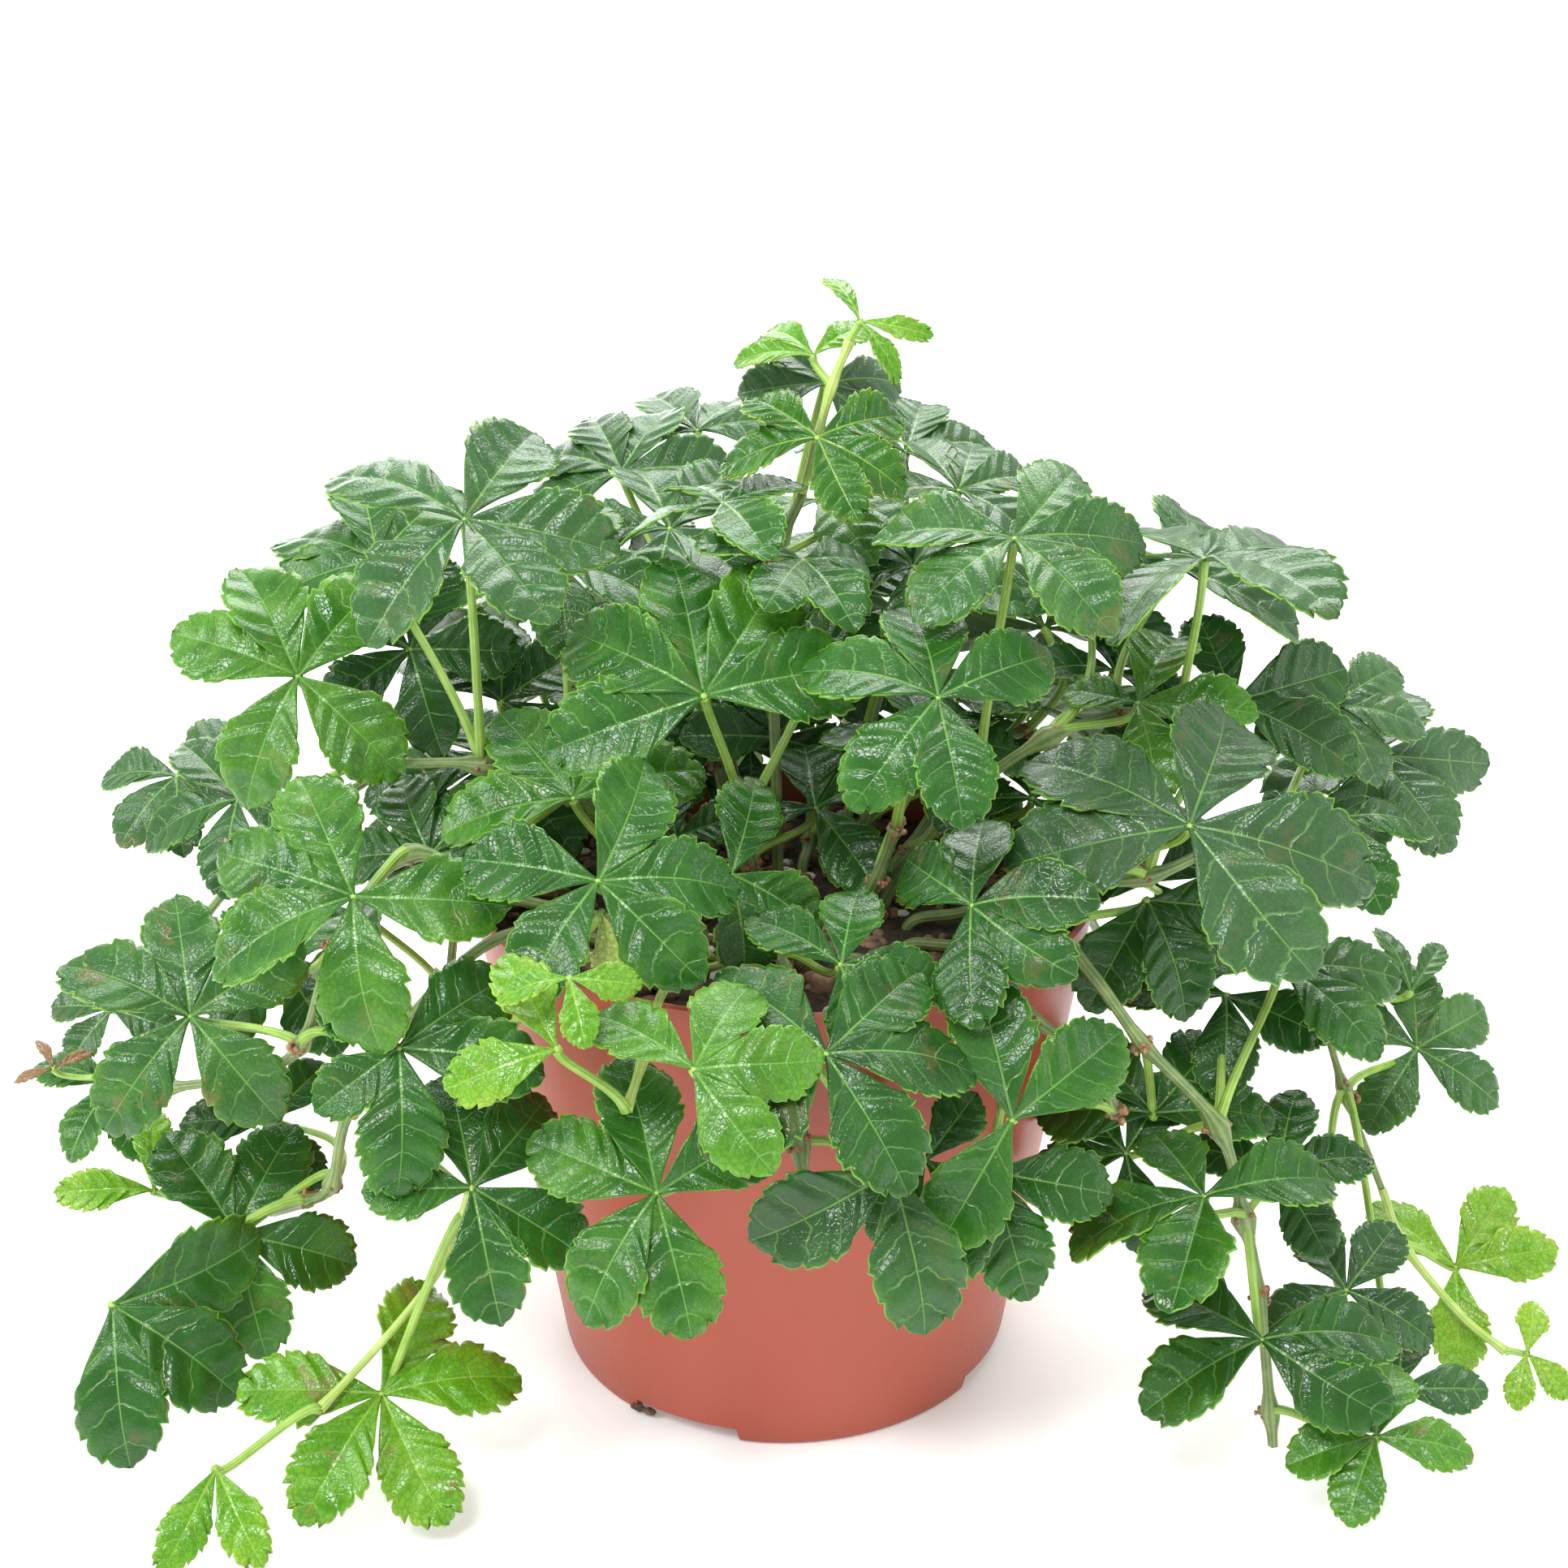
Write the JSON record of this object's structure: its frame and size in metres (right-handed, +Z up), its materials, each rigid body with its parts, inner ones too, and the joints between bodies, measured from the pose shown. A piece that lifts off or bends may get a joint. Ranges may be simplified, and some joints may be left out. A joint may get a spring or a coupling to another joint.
{
  "type": "potted trailing plant",
  "caption": "Miniature grape ivy in a round terracotta-coloured nursery pot: a mound of palmate, toothed dark green leaves on stems that trail over the rim, with a few yellow-green young ends.",
  "frame": {"origin": "on the floor at the pot's axis, which is the bottom centre of the whole plant's box", "axes": "+Z up along the pot's axis, -Y towards the front of the plant, +X to the right as seen from the front, along the plant's longest extent"},
  "size_m": [0.355, 0.2337, 0.2456],
  "materials": {
    "terracotta_plastic": "satin",
    "potting_mix": "matte",
    "foliage": "glossy leaf surface",
    "young_foliage": "satin leaf surface"
  },
  "bodies": {
    "root": {"pot": "terracotta_plastic", "soil": "potting_mix", "stem_back_1": "foliage", "stem_back_2": "foliage", "stem_back_3": "foliage", "stem_back_4": "foliage", "stem_back_5": "foliage", "stem_back_6": "foliage", "stem_back_left": "foliage", "stem_back_right": "foliage", "stem_centre": "foliage", "stem_centre_right": "foliage", "stem_front": "foliage", "stem_front_left": "foliage", "stem_left_far": "foliage", "stem_left_low": "foliage", "stem_left_mid": "foliage", "stem_left_upper": "foliage", "stem_right": "foliage", "stem_right_front": "foliage", "stem_right_runner": "foliage", "stem_right_thin": "foliage", "stem_right_upper": "foliage", "stem_top": "foliage", "shoot_front": "young_foliage", "shoot_left": "young_foliage", "shoot_left_low": "young_foliage", "shoot_right": "young_foliage", "shoot_top": "young_foliage"}
  },
  "joints": []
}
